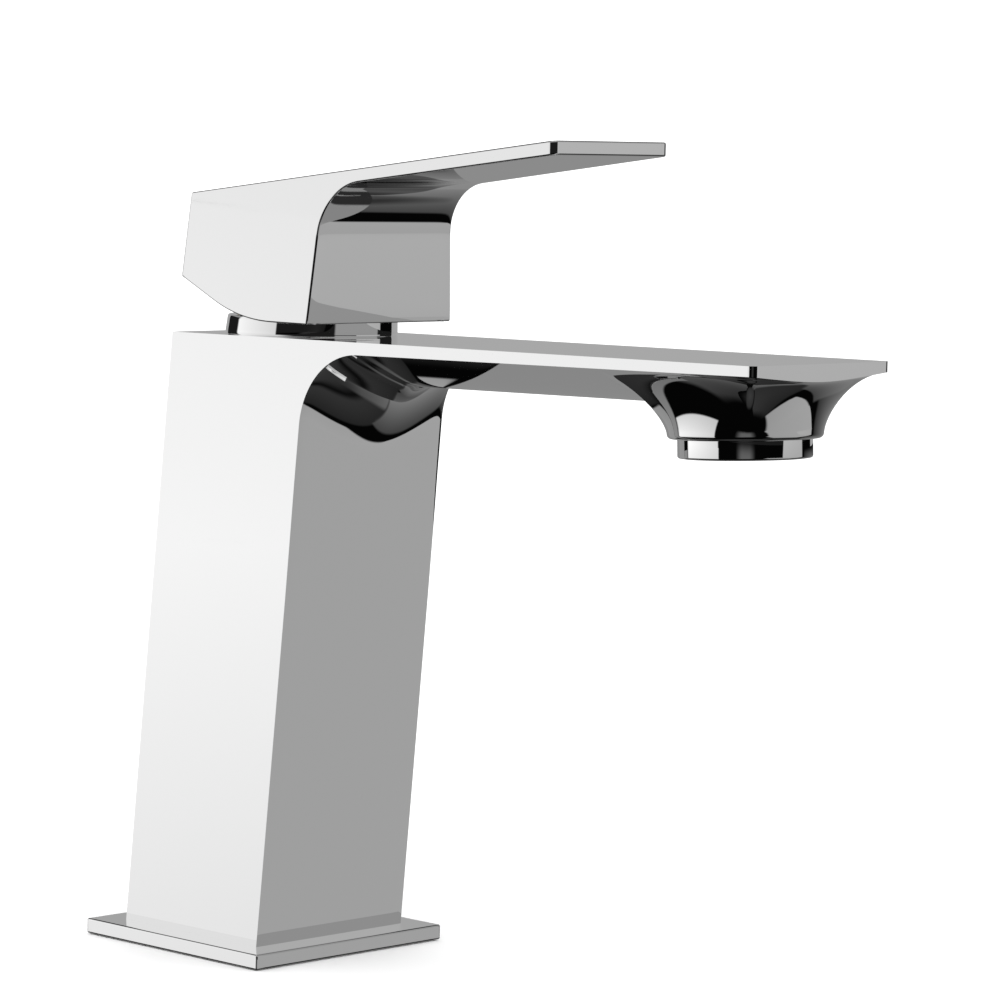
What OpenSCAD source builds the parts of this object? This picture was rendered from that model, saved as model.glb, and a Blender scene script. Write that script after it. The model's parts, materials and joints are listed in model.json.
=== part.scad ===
// Single-lever basin mixer with a square leaning column and a flat spout.
// Origin: centre of the base plate's underside, on the deck. +Z up, the spout points to -Y.

/* [Base plate] */
// Side length of the square base plate
plate_side = 55; // [52:0.5:62]
// Thickness of the base plate
plate_t = 3.3; // [3:0.1:5]
// Radius of the opening for the hoses and the stud
plate_hole_r = 18.4; // [17:0.1:18.6]

/* [Column] */
// Width of the column at its foot
column_w = 43.4; // [42.5:0.1:46]
// Depth of the column, square to its leaning axis
column_d = 42.1; // [41.5:0.1:46]
// Height of the column along its axis, from the plate to the spout's top face
column_h = 130.5; // [120:0.5:145]
// How far the column leans forward, in degrees
column_lean = 5.2; // [4:0.1:6]
// Inward draft of the side faces per height, in degrees
side_draft = 0.18; // [0:0.02:0.3]
// Wall around the hollow lower part of the column
column_wall = 3.3; // [2.8:0.1:3.8]

/* [Spout] */
// Distance from the plate's centre to the spout's end face
spout_reach = 155.2; // [150:0.2:165]
// Upward slope of the top face, in degrees
spout_rise = 0.5; // [0:0.1:1]
// Upward slope of the underside, in degrees
under_rise = 0.8; // [0.5:0.1:1]
// Narrowing of each side towards the end, in degrees
side_taper = 0.26; // [0:0.02:0.5]
// Thickness of the spout's thin side edge where it leaves the column
edge_t = 2.7; // [2.4:0.1:3.2]
// How much lower the middle of the underside is than its side edges
belly_drop = 7.4; // [7:0.1:8]
// Radius of the fillet between column and underside
root_r = 17; // [15:0.5:19]
// Radius of the water duct inside the spout
duct_r = 2.7; // [2:0.1:2.9]

/* [Outlet] */
// Distance from the plate's centre to the outlet's centre
outlet_reach = 135.8; // [134:0.2:137]
// Height of the outlet boss's lower face at its centre
outlet_h = 118.85; // [118:0.05:119.5]
// Tilt of the outlet, which throws the jet slightly forward, in degrees
outlet_tilt = 2.6; // [0:0.1:3]
// Radius of the outlet boss at its lower face
boss_r = 15.4; // [15:0.1:16]
// Radius of the concave flare between boss and spout
flare_r = 14.2; // [14:0.1:14.4]
// Radius of the aerator housing below the boss
aerator_r = 13.32; // [13:0.02:14]
// How far the aerator housing stands below the boss
aerator_drop = 3.9; // [3:0.1:6]

/* [Cartridge] */
// Radius of the chamber for the 35 mm ceramic cartridge
chamber_r = 17.5; // [17.4:0.05:17.6]
// Depth of the chamber below the spout's top face
chamber_depth = 34; // [34:0.1:35]
// Height of the lever's pivot pin above the spout's top face
pivot_h = 6; // [5.8:0.1:6.2]
// Largest lift of the lever, in degrees
lift_max = 18; // [10:1:18]
// Radius of the two water ports
port_r = 3; // [2.6:0.1:3]
// Radius of the ceramic mixing disc that slides
moving_disc_r = 10.8; // [10.5:0.1:10.8]

/* [Lever] */
// Width of the lever at its lower front edge
lever_w = 42.7; // [41:0.1:44]
// Depth of the lever's block
lever_d = 39.6; // [39.4:0.1:40]
// Height of the lever's lower face above the deck
lever_bottom = 136.5; // [136.4:0.05:137]
// Distance from the plate's centre to the lever's tip
lever_reach = 98.6; // [85:0.2:110]
// Upward slope of the lever's top face, in degrees
lever_rise = 7.15; // [6:0.05:8]
// Forward lean of the block's front and back faces, in degrees
lever_lean = 3.3; // [3:0.1:4]
// Inward draft of the lever's sides per height, in degrees
lever_draft = 4.77; // [4:0.01:5]
// Narrowing of each lever side towards the tip, in degrees
lever_taper = 0.81; // [0.5:0.01:1.2]
// Thickness of the handle plate
handle_t = 2.9; // [2.6:0.1:3.4]
// Radius of the fillet between block and handle plate
lever_fillet_r = 12.3; // [10:0.1:14]
// Wall of the hollow block
lever_wall = 2.3; // [2.2:0.05:2.4]
// Wall of the block's front
lever_front_wall = 1.9; // [1.8:0.05:2]

/* [Connections] */
// Radius of the threaded hole for the fixing stud
stud_r = 4; // [3.8:0.1:4]
// Radius of the threaded hose inlets
inlet_r = 5; // [4.6:0.1:5]

/* [Hidden] */
$fn = 96;
eps = 0.01;
big = 400;

chrome = [0.82, 0.83, 0.85];
rubber = [0.12, 0.12, 0.13];
steel = [0.62, 0.63, 0.65];
brass = [0.78, 0.66, 0.36];
plastic = [0.90, 0.90, 0.86];
ceramic = [0.96, 0.95, 0.92];

// Column and spout, in the leaning frame: v is depth, w is height along the axis
half_d = column_d / 2;
top_angle = column_lean + spout_rise;
under_angle = column_lean + under_rise;
function top_w(v) = column_h - tan(top_angle) * v;
function edge_w(v) = top_w(-half_d) - edge_t - tan(under_angle) * (v + half_d);
half_edge = column_w / 2 - 0.6;
belly_r = (half_edge * half_edge + belly_drop * belly_drop) / (2 * belly_drop);
belly_axis_w = edge_w(0) - belly_drop + belly_r;
belly_step = 20;
// Keeps a fillet from only grazing the face it runs into
tangent_lap = 0.004;
tip_v = (sin(column_lean) * column_h - spout_reach) / (cos(column_lean) + sin(column_lean) * tan(top_angle));

// Where the free part of the spout starts, clear of the root fillet
spout_start = -54;

// Hollow of the column below the chamber's floor, and the inlet blocks at its upper end
chamber_floor_t = 2.5;
hollow_w = column_h - chamber_depth - chamber_floor_t;
block_h = 11.5;
block_low_w = hollow_w - block_h;
block_low_z = plate_t + block_low_w * cos(column_lean);
inlet_depth = 10;
port_x = 7.5;
inlet_v = -3;
hose_y = inlet_v * cos(column_lean) - block_low_w * sin(column_lean);
thread_depth = 8;
thread_r = 18;
peg_r = 1.8;
peg_v = 9;
peg_x = 9;

// Cartridge heights, measured along the axis from the spout's top face
base_low = -chamber_depth + 1.2;
base_high = base_low + 5;
disc_low = base_high + 1;
fixed_disc_t = 4;
moving_disc_t = 3.5;
sliding_h = disc_low + fixed_disc_t;
carrier_low = sliding_h + moving_disc_t;
carrier_t = 5;
rotor_low = carrier_low + carrier_t + 0.3;
rotor_flange_t = 1.8;
shoulder_h = rotor_low + rotor_flange_t + 0.2;
housing_r = 16.3;
cavity_r = 15.2;
flange_r = 17.3;
neck_outer_r = 13.5;
neck_top = 3;
rotor_r = 12.04;
rotor_bore_r = 12.1;
rotor_top_r = 10.5;
rotor_top = 9.5;
pin_r = 1.5;
stem_side = 8;
stem_top = 27;
finger_r = 3;
finger_h = carrier_low + finger_r + 0.1;
finger_arm = pivot_h - finger_h;
slide_travel = finger_arm * lift_max * PI / 180;
disc_rest_v = slide_travel / 2;
slot_half = finger_r + 0.45;
outlet_v = 5;

// Neck ring and retaining nut
ring_base_r = 18.53;
ring_top_r = 18.2;
ring_h = 4.1;
ring_inner_r = 16.9;
collar_r = 16.2;
collar_h = 3.4;
nut_drop = 2.2;
oring_r = 0.62;

// Lever's outline in the YZ plane
lever_front_y = -32.9;
lever_back_y = lever_front_y + lever_d;
relief_start_y = -21.9;
relief_r = 44;
relief_angle = 24.3;
lever_top_z = 163.2;
lever_top_y = 4.8;
function lever_top_at(y) = lever_top_z + tan(lever_rise) * (lever_top_y - y);
function front_at(z) = lever_front_y - tan(lever_lean) * (z - lever_bottom);
socket_clear = 0.05;
screw_h = 19;
screw_r = 2.5;
plug_r = 4;

// Aerator, measured along the outlet's axis from the boss's lower face
thread_bore_r = 12;
thread_bore_h = 9;
water_bore_r = 9.5;
water_bore_h = 11.5;
aerator_in_h = 7.6;

// Lug for the fixing stud
stud_y = 10;
lug_low = 9;
lug_h = 12;
lug_w = 14;
insert_gap = 0.03;

// Frame along the column's axis, from the foot
module leaned() {
    translate([0, 0, plate_t]) rotate([column_lean, 0, 0]) children();
}

// The same frame, from the spout's top face
module at_top() {
    leaned() translate([0, 0, column_h]) children();
}

// Frame square to the spout's top face, from the column's axis
module on_top() {
    at_top() rotate([-top_angle, 0, 0]) children();
}

// Frame of the outlet, from the centre of the boss's lower face, axis up
module at_outlet() {
    translate([0, -outlet_reach, outlet_h]) rotate([-outlet_tilt, 0, 0]) children();
}

// Frame that pivots with the lever, from the pivot pin's centre
module at_pivot() {
    at_top() translate([0, 0, pivot_h]) children();
}

// A YZ outline drawn as 2D, extruded symmetrically along X
module along_x(width) {
    translate([-width / 2, 0, 0]) rotate([90, 0, 90]) linear_extrude(width) children();
}

// A cylinder lying along X
module rod_x(r, length) {
    translate([-length / 2, 0, 0]) rotate([0, 90, 0]) cylinder(r = r, h = length);
}

// A cylinder between two points of the plane X = 0
module rod_yz(from, to, r) {
    run = to - from;
    translate([0, from[0], from[1]])
        rotate([-atan2(run[0], run[1]), 0, 0])
            cylinder(r = r, h = norm(run));
}

// A flat ring
module ring(outer, inner, height) {
    difference() {
        cylinder(r = outer, h = height);
        translate([0, 0, -eps]) cylinder(r = inner, h = height + 2 * eps);
    }
}

// A round-section ring
module torus(major, minor) {
    rotate_extrude() translate([major, 0]) circle(r = minor, $fn = 32);
}

// Two children side by side, at plus and minus x
module both_sides(x) {
    for (side = [-1, 1]) translate([side * x, 0, 0]) children();
}

module base_plate() {
    color(chrome) difference() {
        translate([-plate_side / 2, -plate_side / 2, 0]) cube([plate_side, plate_side, plate_t]);
        translate([0, 0, -eps]) cylinder(r = plate_hole_r, h = plate_t + 2 * eps);
        translate([0, 0, -eps]) ring(gasket_outer_r, gasket_inner_r, gasket_t + eps);
    }
}

gasket_outer_r = 24.5;
gasket_inner_r = 19.5;
gasket_t = 1.6;

module base_gasket() {
    color(rubber) ring(gasket_outer_r, gasket_inner_r, gasket_t);
}

// Side view of the metal behind the belly facet that is turned by angle about the belly's axis
module belly_outline(angle) {
    slope = tan(under_angle) * cos(angle);
    function facet(v) = -belly_r - slope * v;
    tilt = atan(slope);
    centre_v = -half_d - root_r;
    centre_w = facet(centre_v) - root_r / cos(tilt);
    touch = [centre_v + root_r * sin(tilt), centre_w + root_r * cos(tilt)];
    polygon([
        [half_d, -big / 2], [-half_d, -big / 2], [-half_d, facet(-half_d)],
        [tip_v * 1.1, facet(tip_v * 1.1)], [tip_v * 1.1, big / 2], [half_d, big / 2]
    ]);
    difference() {
        polygon([[-half_d + 1, centre_w], [-half_d + 1, facet(-half_d) + 1], touch + [0, 1], touch,
                 [centre_v, centre_w]]);
        translate([centre_v, centre_w]) circle(r = root_r + tangent_lap);
    }
}

// Column and spout: the metal common to all facets of the round belly
module bellied_bar() {
    leaned() translate([0, 0, belly_axis_w])
        intersection_for (angle = [-1.5 * belly_step : belly_step : 1.5 * belly_step])
            rotate([0, angle, 0]) along_x(big / 2) belly_outline(angle);
}

// Top, back, end and foot of the body, and its two drafted side faces
module body_envelope() {
    low = -half_d;
    far_v = 1.1 * tip_v;
    intersection() {
        leaned() along_x(column_w * 1.1)
            polygon([[half_d, low], [far_v, low], [far_v, top_w(far_v)], [half_d, top_w(half_d)]]);
        translate([-big / 2, -spout_reach, plate_t]) cube([big, big, big]);
        intersection_for (side = [-1, 1])
            translate([side * column_w / 2, 0, plate_t])
                rotate([0, -side * side_draft, side * side_taper])
                    translate([side > 0 ? -big : 0, -big / 2, -big / 8]) cube([big, big, big]);
    }
}

// Concave flare from the round boss out to the spout's edges
flare_sink = 1.74;
flare_centre_r = boss_r + sqrt(flare_r * flare_r - flare_sink * flare_sink);
flare_h = flare_r - flare_sink;
front_flare_r = 19.5;
side_flare_r = 18.4;

module outlet_flare() {
    reach = flare_centre_r;
    at_outlet() intersection() {
        rotate_extrude() difference() {
            square([reach, flare_h + 4]);
            translate([reach, -flare_sink]) circle(r = flare_r);
        }
        rotate([0, 0, 90]) along_x(2 * reach) difference() {
            translate([-reach, 0]) square([2 * reach, flare_h + 4]);
            for (side = [-1, 1]) translate([side * (boss_r + side_flare_r), 0]) circle(r = side_flare_r);
        }
    }
}

// Chamber, water ways and aerator seat
module body_bores() {
    at_top() {
        translate([0, 0, -chamber_depth]) cylinder(r = chamber_r, h = big / 8);
        translate([0, 0, -thread_depth]) cylinder(r = thread_r, h = big / 8);
        inlet_ports();
        both_sides(peg_x) translate([0, peg_v, -chamber_depth - 3]) cylinder(r = peg_r + 0.1, h = 5);
    }
    at_outlet() {
        translate([0, 0, -5]) cylinder(r = thread_bore_r, h = thread_bore_h + 5);
        cylinder(r = water_bore_r, h = water_bore_h);
    }
    rod_yz(duct_chamber, duct_bend, duct_r);
    translate([0, duct_bend[0], duct_bend[1]]) sphere(r = duct_r + 0.3);
    rod_yz(duct_bend, duct_outlet, duct_r);
}

duct_chamber = [-25, 120];
duct_bend = [-43, 128.6];
duct_outlet = [-outlet_reach + 4, 129.6];

// The two water ways from the inlets into the chamber
module inlet_ports() {
    both_sides(port_x) translate([0, inlet_v, -chamber_depth - block_h / 2])
        cylinder(r = port_r, h = block_h);
}

// Square space inside the column between two heights on its axis, made smaller all round by gap
module column_space(low, high, gap) {
    inner_w = column_w - 2 * (column_wall + gap);
    inner_d = column_d - 2 * (column_wall + gap);
    leaned() translate([-inner_w / 2, -inner_d / 2, low]) cube([inner_w, inner_d, high - low]);
}

// The whole casting: column, neck and spout, with its hollow, chamber and water way
module casting() {
    difference() {
        intersection() {
            union() {
                bellied_bar();
                outlet_flare();
            }
            body_envelope();
        }
        at_outlet() translate([0, -boss_r - front_flare_r, 0]) rod_x(front_flare_r, 2 * column_w);
        body_bores();
        column_space(-half_d, hollow_w, 0);
    }
}

// Space of the given length along the column, from the given height up its axis
module column_span(from, length) {
    leaned() translate([-column_w, -2 * spout_reach, from])
        cube([2 * column_w, 4 * spout_reach, length]);
}

module column() {
    color(chrome) intersection() {
        casting();
        column_span(-column_d, hollow_w + column_d);
    }
}

module body() {
    color(chrome) intersection() {
        casting();
        column_span(hollow_w, column_h);
        translate([-column_w, spout_start, 0]) cube([2 * column_w, column_h, 2 * column_h]);
    }
}

module spout() {
    color(chrome) intersection() {
        casting();
        translate([-column_w, spout_start - 2 * spout_reach, 0])
            cube([2 * column_w, 2 * spout_reach, 2 * column_h]);
    }
}

// One of the two blocks at the top of the hollow column that take the hoses, on the side given by its sign
module inlet(side) {
    color(brass) difference() {
        intersection() {
            column_space(block_low_w, hollow_w - insert_gap, insert_gap);
            translate([side * (column_w / 2 + insert_gap), 0, 0])
                cube([column_w, 3 * column_w, 3 * column_h], center = true);
        }
        translate([side * port_x, hose_y, 0]) cylinder(r = inlet_r, h = block_low_z + inlet_depth);
        at_top() inlet_ports();
    }
}

module inlet_hot() {
    inlet(-1);
}

module inlet_cold() {
    inlet(1);
}

// Bracket against the back wall of the hollow column that takes the fixing stud
module stud_bracket() {
    color(brass) difference() {
        intersection() {
            column_space(0, hollow_w, insert_gap);
            translate([-lug_w / 2, stud_y - lug_w / 2, lug_low]) cube([lug_w, column_d, lug_h]);
        }
        translate([0, stud_y, 0]) cylinder(r = stud_r + 0.05, h = lug_low + lug_h + 5);
    }
}

module neck_ring() {
    color(chrome) difference() {
        intersection() {
            at_top() translate([0, 0, -ring_h])
                cylinder(r1 = ring_base_r + 0.3, r2 = ring_top_r - 0.3, h = 3 * ring_h);
            on_top() cylinder(r = 2 * ring_base_r, h = ring_h);
        }
        at_top() translate([0, 0, -ring_h]) cylinder(r = ring_inner_r, h = 4 * ring_h);
    }
}

module ring_oring() {
    color(rubber) at_top() translate([0, 0, collar_h / 2]) torus(collar_r, oring_r);
}

module retaining_nut() {
    color(brass) at_top() difference() {
        union() {
            translate([0, 0, -thread_depth]) cylinder(r = thread_r - 0.05, h = thread_depth - nut_drop);
            translate([0, 0, -thread_depth]) cylinder(r = collar_r, h = thread_depth + collar_h);
        }
        translate([0, 0, -big / 8]) cylinder(r = neck_outer_r + 0.3, h = big / 4);
        translate([0, 0, collar_h / 2]) torus(collar_r, oring_r + 0.03);
    }
}

module cartridge_housing() {
    groove_h = -thread_depth - 1.3;
    color(plastic) at_top() difference() {
        union() {
            translate([0, 0, base_high]) cylinder(r = housing_r, h = -thread_depth - base_high);
            translate([0, 0, -thread_depth - 2.6]) cylinder(r = flange_r, h = 2.6);
            translate([0, 0, -thread_depth - eps]) cylinder(r = neck_outer_r, h = thread_depth + neck_top);
        }
        translate([0, 0, base_high - eps]) cylinder(r = cavity_r, h = shoulder_h - base_high);
        cylinder(r = rotor_bore_r, h = 2 * big / 8, center = true);
        translate([0, 0, groove_h]) torus(chamber_r - 0.77, 0.78);
    }
}

module housing_oring() {
    color(rubber) at_top() translate([0, 0, -thread_depth - 1.3]) torus(chamber_r - 0.77, 0.75);
}

module cartridge_base() {
    color(plastic) at_top() difference() {
        union() {
            translate([0, 0, base_low]) cylinder(r = housing_r, h = base_high - base_low);
            both_sides(peg_x) translate([0, peg_v, base_low - 3]) cylinder(r = peg_r, h = 4);
        }
        both_sides(port_x) translate([0, inlet_v, base_low - eps]) cylinder(r = port_r, h = 6);
        translate([0, outlet_v, base_low + 1.6]) cylinder(r = port_r + 0.2, h = 6);
        translate([-port_r, outlet_v, base_low + 1.6]) cube([2 * port_r, housing_r, 2]);
    }
}

module port_seals() {
    color(rubber) at_top() both_sides(port_x) translate([0, inlet_v, -chamber_depth])
        ring(port_r + 1.8, port_r + 0.1, base_low + chamber_depth);
}

module disc_seals() {
    color(rubber) at_top() {
        both_sides(port_x) translate([0, inlet_v, base_high]) ring(port_r + 1, port_r, disc_low - base_high);
        translate([0, outlet_v, base_high]) ring(port_r + 1.2, port_r + 0.2, disc_low - base_high);
    }
}

module fixed_disc() {
    color(ceramic) at_top() difference() {
        translate([0, 0, disc_low]) cylinder(r = cavity_r - 0.1, h = fixed_disc_t - 0.02);
        both_sides(port_x) translate([0, inlet_v, disc_low - eps]) cylinder(r = port_r, h = 6);
        translate([0, outlet_v, disc_low - eps]) cylinder(r = port_r + 0.2, h = 6);
    }
}

module moving_disc() {
    pocket_r = 5.6;
    color(ceramic) at_top() difference() {
        translate([0, disc_rest_v, sliding_h]) cylinder(r = moving_disc_r, h = moving_disc_t);
        translate([0, disc_rest_v + 2.5, sliding_h - eps]) {
            cylinder(r = pocket_r, h = 2);
            both_sides(3.2) cylinder(r = pocket_r - 1.5, h = 2);
        }
    }
}

module disc_carrier() {
    color(plastic) at_top() difference() {
        translate([0, disc_rest_v, carrier_low]) cylinder(r = moving_disc_r, h = carrier_t);
        translate([-finger_r - 0.3, -slot_half, carrier_low - eps])
            cube([2 * finger_r + 0.6, 2 * slot_half, carrier_t + 2 * eps]);
    }
}

// Turning part that carries the pivot pin and takes the disc carrier round with it
module stem_rotor() {
    slot_w = stem_side + 0.8;
    slot_front = finger_arm * sin(lift_max) + finger_r + 0.4;
    slot_back = stem_side / 2 + 2;
    color(plastic) at_top() difference() {
        union() {
            translate([0, 0, rotor_low]) cylinder(r = cavity_r - 0.6, h = rotor_flange_t);
            translate([0, 0, rotor_low]) cylinder(r = rotor_r, h = neck_top - rotor_low);
            cylinder(r = rotor_top_r, h = rotor_top);
        }
        translate([-slot_w / 2, -slot_front, rotor_low - eps])
            cube([slot_w, slot_front + slot_back, pivot_h - rotor_low]);
        translate([-slot_w / 2, -slot_back, 0]) cube([slot_w, 2 * slot_back, rotor_top + eps]);
        translate([0, 0, pivot_h]) rod_x(pin_r, 3 * rotor_r);
    }
}

module pivot_pin() {
    color(steel) at_pivot() rod_x(pin_r, 2 * rotor_top_r - 1.5);
}

module cartridge_stem() {
    color(steel) at_pivot() difference() {
        union() {
            translate([-stem_side / 2, -stem_side / 2, 0])
                cube([stem_side, stem_side, stem_top - pivot_h]);
            rod_x(stem_side / 2, stem_side);
            translate([0, 0, -finger_arm]) cylinder(r = finger_r - 0.6, h = finger_arm);
            translate([0, 0, -finger_arm]) sphere(r = finger_r);
        }
        rod_x(pin_r + 0.04, 2 * stem_side);
    }
}

// Side view of the lever, grown inwards by inset for its hollow
module lever_outline() {
    arc_centre = [relief_start_y, lever_bottom + relief_r];
    arc_end = arc_centre + relief_r * [sin(relief_angle), -cos(relief_angle)];
    back_low_z = arc_end[1] + tan(relief_angle) * (lever_back_y - arc_end[0]);
    back_top_y = lever_back_y - tan(lever_lean) * (lever_top_z - back_low_z);
    tip_top = lever_top_at(-lever_reach);
    under_z = lever_top_at(0) - handle_t / cos(lever_rise);
    function under_at(y) = under_z - tan(lever_rise) * y;
    // Fillet centre: a radius away from the front face and from the handle's underside
    offset_y = lever_fillet_r / cos(lever_lean);
    offset_z = lever_fillet_r / cos(lever_rise);
    slope_front = tan(lever_lean);
    slope_under = tan(lever_rise);
    centre_z = (under_z - offset_z - slope_under * (lever_front_y + slope_front * lever_bottom - offset_y))
        / (1 - slope_under * slope_front);
    centre_y = front_at(centre_z) - offset_y;
    touch_front = [centre_y + lever_fillet_r * cos(lever_lean), centre_z + lever_fillet_r * sin(lever_lean)];
    touch_under = [centre_y + lever_fillet_r * sin(lever_rise), centre_z + lever_fillet_r * cos(lever_rise)];
    difference() {
        union() {
            polygon([
                [front_at(lever_bottom), lever_bottom], [arc_centre[0], lever_bottom],
                [arc_end[0], lever_bottom], [lever_back_y, lever_bottom], [lever_back_y, back_low_z],
                [back_top_y, lever_top_at(back_top_y)], [-lever_reach, tip_top],
                [-lever_reach, under_at(-lever_reach)], touch_under, [centre_y, centre_z], touch_front
            ]);
        }
        translate([centre_y, centre_z]) circle(r = lever_fillet_r);
        difference() {
            polygon([
                [relief_start_y, lever_bottom - 1], [relief_start_y, lever_bottom],
                arc_end, [lever_back_y + 1, back_low_z + tan(relief_angle)],
                [lever_back_y + 1, lever_bottom - 1]
            ]);
            translate(arc_centre) circle(r = relief_r, $fn = 180);
        }
    }
}

// Space between the lever's drafted side faces, each moved inwards by inset
module lever_sides(inset) {
    intersection_for (side = [-1, 1])
        translate([side * (lever_w / 2 - inset), lever_front_y, lever_bottom])
            rotate([0, -side * lever_draft, side * lever_taper])
                translate([side > 0 ? -big : 0, -big / 2, -big / 2]) cube([big, big, big]);
}

// Hollow of the lever's block, open below
module lever_hollow() {
    ceiling = 3.4;
    intersection() {
        along_x(lever_w) polygon([
            [front_at(lever_bottom - 9) + lever_front_wall, lever_bottom - 9],
            [lever_back_y - lever_wall, lever_bottom - 9],
            [lever_back_y - lever_wall, lever_bottom + 8],
            [lever_back_y - lever_wall - 1.2, lever_top_at(lever_back_y) - ceiling],
            [front_at(lever_top_z) + lever_front_wall + 1.2, lever_top_at(lever_front_y) - ceiling],
            [front_at(lever_bottom + 8) + lever_front_wall, lever_bottom + 8]
        ]);
        lever_sides(lever_wall);
    }
}

module lever_handle() {
    boss_side = 14;
    boss_low = 8;
    boss_high = 24;
    socket = stem_side + 2 * socket_clear;
    color(chrome) difference() {
        intersection() {
            along_x(2 * lever_w) lever_outline();
            lever_sides(0);
        }
        difference() {
            lever_hollow();
            at_pivot() translate([-boss_side / 2, -boss_side / 2, boss_low])
                cube([boss_side, boss_side, boss_high]);
        }
        at_pivot() {
            translate([-socket / 2, -socket / 2, 0])
                cube([socket, socket, stem_top - pivot_h + 0.2]);
            translate([0, 0, screw_h - pivot_h]) rotate([-90, 0, 0]) cylinder(r = screw_r, h = big / 8);
            translate([0, plug_seat_v, screw_h - pivot_h]) rotate([-90, 0, 0])
                cylinder(r = plug_r, h = big / 8);
        }
    }
}

plug_t = 1.6;
plug_seat_v = lever_back_y + 12.2;

module grub_screw() {
    color(steel) at_pivot() translate([0, stem_side / 2 + socket_clear, screw_h - pivot_h])
        rotate([-90, 0, 0]) difference() {
            cylinder(r = screw_r - 0.03, h = 6);
            translate([0, 0, 3]) cylinder(r = 1.4, h = 4, $fn = 6);
        }
}

// Places children on the index plug's seat in the back of the lever, axis outwards
module at_plug() {
    at_pivot() translate([0, plug_seat_v, screw_h - pivot_h]) rotate([-90, 0, 0]) children();
}

module index_plug() {
    color(plastic) at_plug() difference() {
        cylinder(r = plug_r - 0.04, h = plug_t);
        translate([0, 0, plug_t - 0.6]) cylinder(r = plug_r - 0.9, h = 1);
    }
}

module index_half(side) {
    at_plug() intersection() {
        translate([0, 0, plug_t - 0.6]) cylinder(r = plug_r - 0.93, h = 0.6);
        translate([side > 0 ? 0.02 : -plug_r, -plug_r, 0]) cube([plug_r - 0.02, 2 * plug_r, 2 * plug_t]);
    }
}

module index_hot() {
    color("firebrick") index_half(1);
}

module index_cold() {
    color("royalblue") index_half(-1);
}

module aerator_housing() {
    color(chrome) at_outlet() difference() {
        union() {
            translate([0, 0, -aerator_drop]) cylinder(r = aerator_r, h = aerator_drop);
            cylinder(r = thread_bore_r - 0.04, h = aerator_in_h);
        }
        translate([0, 0, -aerator_drop - eps]) cylinder(r = 10.2, h = 1.6);
        translate([0, 0, -aerator_drop + 1.5]) cylinder(r = 10.8, h = big / 8);
    }
}

module aerator_insert() {
    jet_r = 1.1;
    color(plastic) at_outlet() difference() {
        translate([0, 0, -aerator_drop + 1.5]) cylinder(r = 10.75, h = 7);
        for (circle_of = [[0, 1], [4, 6], [7.8, 12]])
            for (i = [0 : circle_of[1] - 1])
                rotate([0, 0, i * 360 / circle_of[1]]) translate([circle_of[0], 0, -aerator_drop])
                    cylinder(r = jet_r, h = big / 8);
    }
}

module aerator_screen() {
    color(steel) at_outlet() difference() {
        translate([0, 0, -aerator_drop + 8.5]) cylinder(r = 10.7, h = 0.6);
        for (x = [-7.5 : 2.5 : 7.5]) for (y = [-7.5 : 2.5 : 7.5]) if (norm([x, y]) < 9.2)
            translate([x - 0.9, y - 0.9, -aerator_drop + 8]) cube([1.8, 1.8, 2]);
    }
}

module aerator_gasket() {
    color(rubber) at_outlet() translate([0, 0, aerator_in_h])
        ring(thread_bore_r - 0.1, water_bore_r, thread_bore_h - aerator_in_h);
}

base_plate();
base_gasket();
column();
body();
spout();
inlet_hot();
inlet_cold();
stud_bracket();
neck_ring();
ring_oring();
retaining_nut();
cartridge_housing();
housing_oring();
cartridge_base();
port_seals();
disc_seals();
fixed_disc();
moving_disc();
disc_carrier();
stem_rotor();
pivot_pin();
cartridge_stem();
lever_handle();
grub_screw();
index_plug();
index_hot();
index_cold();
aerator_housing();
aerator_insert();
aerator_screen();
aerator_gasket();
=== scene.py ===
import json
import math

import bmesh
import bpy
from mathutils import Matrix, Vector


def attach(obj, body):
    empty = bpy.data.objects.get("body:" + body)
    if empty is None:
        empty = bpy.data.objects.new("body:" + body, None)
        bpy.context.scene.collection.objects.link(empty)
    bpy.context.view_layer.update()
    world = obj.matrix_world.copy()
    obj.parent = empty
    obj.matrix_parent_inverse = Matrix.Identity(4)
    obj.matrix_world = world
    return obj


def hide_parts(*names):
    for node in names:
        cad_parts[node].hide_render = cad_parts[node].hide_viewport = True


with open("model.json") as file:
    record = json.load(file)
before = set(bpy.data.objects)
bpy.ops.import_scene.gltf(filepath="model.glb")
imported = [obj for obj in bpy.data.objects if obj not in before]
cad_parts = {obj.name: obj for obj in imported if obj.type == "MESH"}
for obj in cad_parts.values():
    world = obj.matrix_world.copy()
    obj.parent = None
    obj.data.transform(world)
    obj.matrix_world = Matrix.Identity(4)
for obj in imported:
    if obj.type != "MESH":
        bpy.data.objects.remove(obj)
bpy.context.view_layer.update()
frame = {"nodes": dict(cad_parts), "record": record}
MM = 0.001


def tand(deg):
    return math.tan(math.radians(deg))


# ---------------------------------------------------------------- sizes, in millimetres
PLATE_HALF, PLATE_T, PLATE_HOLE = 27.5, 3.3, 18.4
LEAN = 5.2
COL_HALF_W, COL_HALF_D, COL_H = 21.7, 21.05, 130.5
SIDE_DRAFT, SIDE_TAPER = 0.18, 0.26
TOP_RISE, UNDER_RISE, EDGE_T = 0.5, 0.8, 2.7
REACH, ROOT_R, BELLY_ROUND, BELLY_DROP = 155.2, 17.0, 0.45, 7.2
OUT_Y, OUT_Z, OUT_TILT, BOSS_R = -135.8, 118.85, 2.6, 15.4
PATCH_BACK_Y = -114.4    # where the boss starts to grow out of the belly
SPOUT_MID_Z = 131.0      # height at which the spout's width is read
WALL, HOLLOW_TOP = 3.3, 94.0           # thickness round the column's hollow, and the hollow's height
RIM_R = 1.0              # rounding of the boss's lower rim
TIP_R = 1.6              # vertical corners of the spout's tip, and of the handle's
ROLL_DEPTH, ROLL_REACH = 0.04, 0.9     # polished faces roll off towards their edges
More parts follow.
